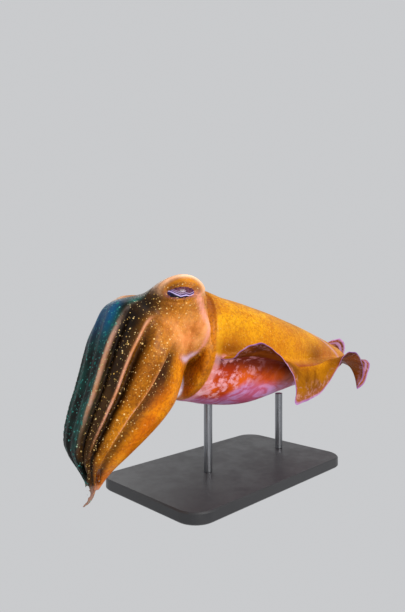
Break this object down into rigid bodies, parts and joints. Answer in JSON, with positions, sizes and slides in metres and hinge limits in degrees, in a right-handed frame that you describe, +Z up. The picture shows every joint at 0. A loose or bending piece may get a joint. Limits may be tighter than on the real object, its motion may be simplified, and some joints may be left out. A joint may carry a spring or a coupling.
{
  "type": "cuttlefish model",
  "caption": "Life-size still model of a hovering cuttlefish with hanging arms and rippled side fins, on a flat base with short rods.",
  "frame": {"origin": "middle of the base's underside", "axes": "+Z up, -X where the animal looks, -Y its left side"},
  "size_m": [0.4123, 0.1623, 0.1907],
  "materials": {
    "mantle_skin": "moist smooth skin, golden orange, mottled",
    "head_skin": "moist skin, orange brown with pale dots",
    "arm_skin": "moist skin, orange with dark grooves and pale ridges",
    "fin_skin": "thin moist skin, orange brown with a lilac edge",
    "funnel_skin": "pale smooth skin",
    "eye": "clear glossy eye, violet with a dark pupil",
    "rod_steel": "brushed",
    "base_paint": "satin black"
  },
  "bodies": {
    "root": {"mantle": "mantle_skin", "neck": "head_skin", "head": "head_skin", "funnel": "funnel_skin", "eye_left": "eye", "fin_left_front": "fin_skin", "fin_left_rear": "fin_skin", "arm_left_1_base": "arm_skin", "arm_left_1_tip": "arm_skin", "arm_left_2_base": "arm_skin", "arm_left_2_tip": "arm_skin", "arm_left_3_base": "arm_skin", "arm_left_3_tip": "arm_skin", "arm_left_4_base": "arm_skin", "arm_left_4_tip": "arm_skin", "eye_right": "eye", "fin_right_front": "fin_skin", "fin_right_rear": "fin_skin", "arm_right_1_base": "arm_skin", "arm_right_1_tip": "arm_skin", "arm_right_2_base": "arm_skin", "arm_right_2_tip": "arm_skin", "arm_right_3_base": "arm_skin", "arm_right_3_tip": "arm_skin", "arm_right_4_base": "arm_skin", "arm_right_4_tip": "arm_skin", "stand_rod_front": "rod_steel", "stand_rod_rear": "rod_steel", "stand_base": "base_paint"}
  },
  "joints": []
}
